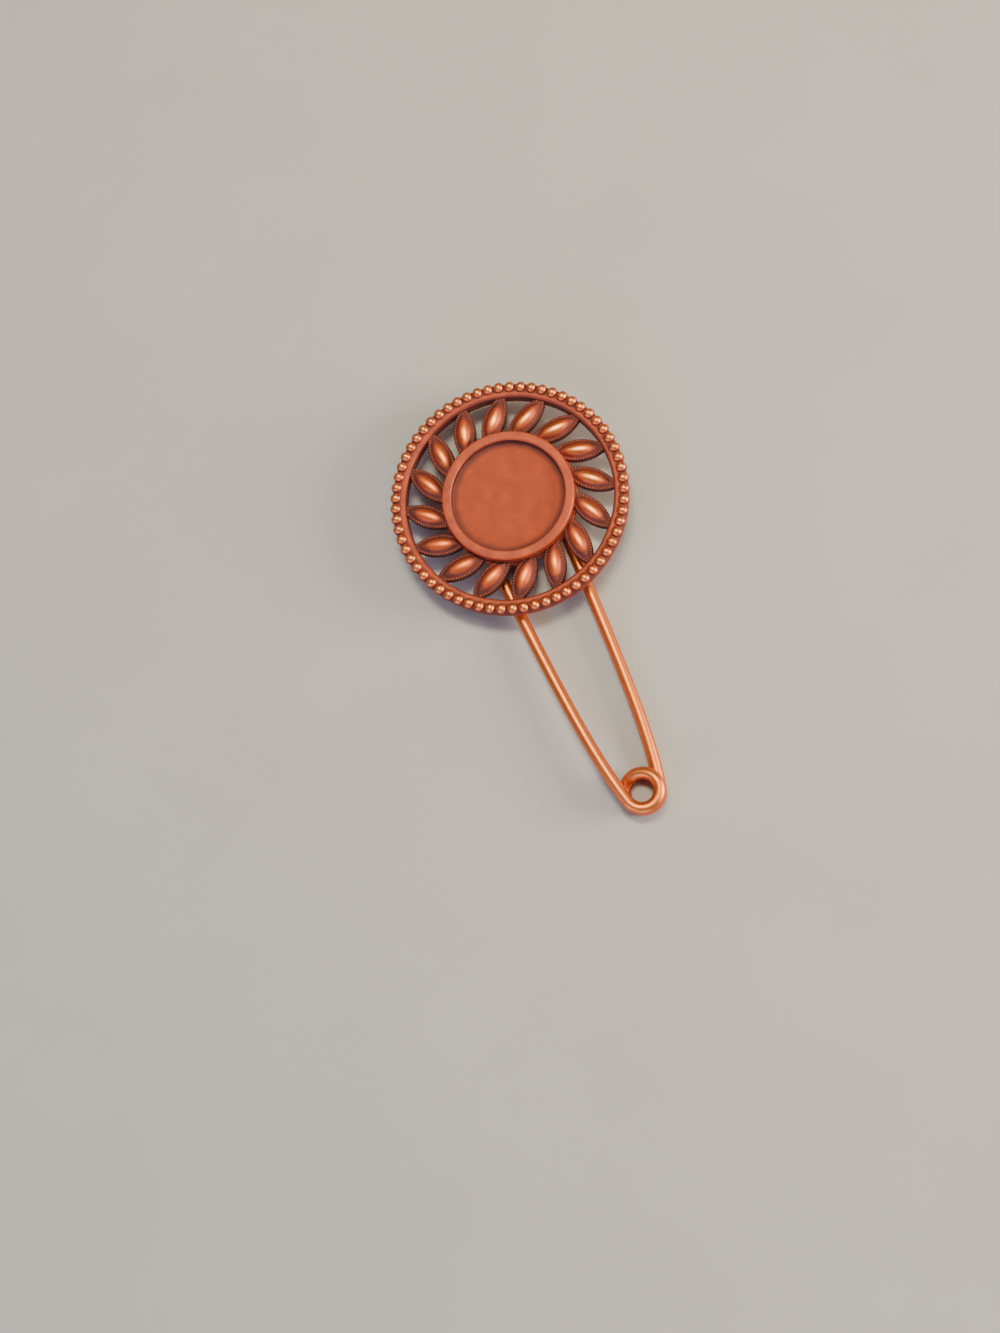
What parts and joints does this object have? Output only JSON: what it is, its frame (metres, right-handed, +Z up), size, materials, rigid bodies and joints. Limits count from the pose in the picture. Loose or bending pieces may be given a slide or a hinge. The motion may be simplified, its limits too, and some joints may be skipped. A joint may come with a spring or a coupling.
{
  "type": "kilt pin with a round openwork head and a stone tray",
  "caption": "Kilt pin: a coiled wire safety pin with a round cast head on its front, an openwork ring of leaves between a beaded rim and a shallow tray for a flat-backed stone.",
  "frame": {"origin": "on the resting surface, under the middle of the whole outline", "axes": "+Z up out of the head's front; +Y along the pin from its coil to its head; the needle's arm is on the +X side"},
  "size_m": [0.0386, 0.0738, 0.0062],
  "materials": {
    "cast_copper": "antiqued copper plating, dark in the recesses, polished on the high points",
    "sheet_copper": "copper plating, satin",
    "wire_copper": "copper plating, smooth and bright"
  },
  "bodies": {
    "pin_frame": {"head": "cast_copper", "clasp": "sheet_copper", "fixed_arm": "wire_copper", "coil": "wire_copper"},
    "needle": {"needle_arm": "wire_copper"}
  },
  "joints": [
    {"name": "needle_open", "type": "hinge", "parent": "pin_frame", "child": "needle", "pos_m": [0.00217, -0.03391, 0.00013], "axis": [-0.8652, 0.045, 0.4995], "range_deg": [0, 20], "stiffness_Nm_per_rad": 0.03, "springref_deg": -8.59}
  ]
}
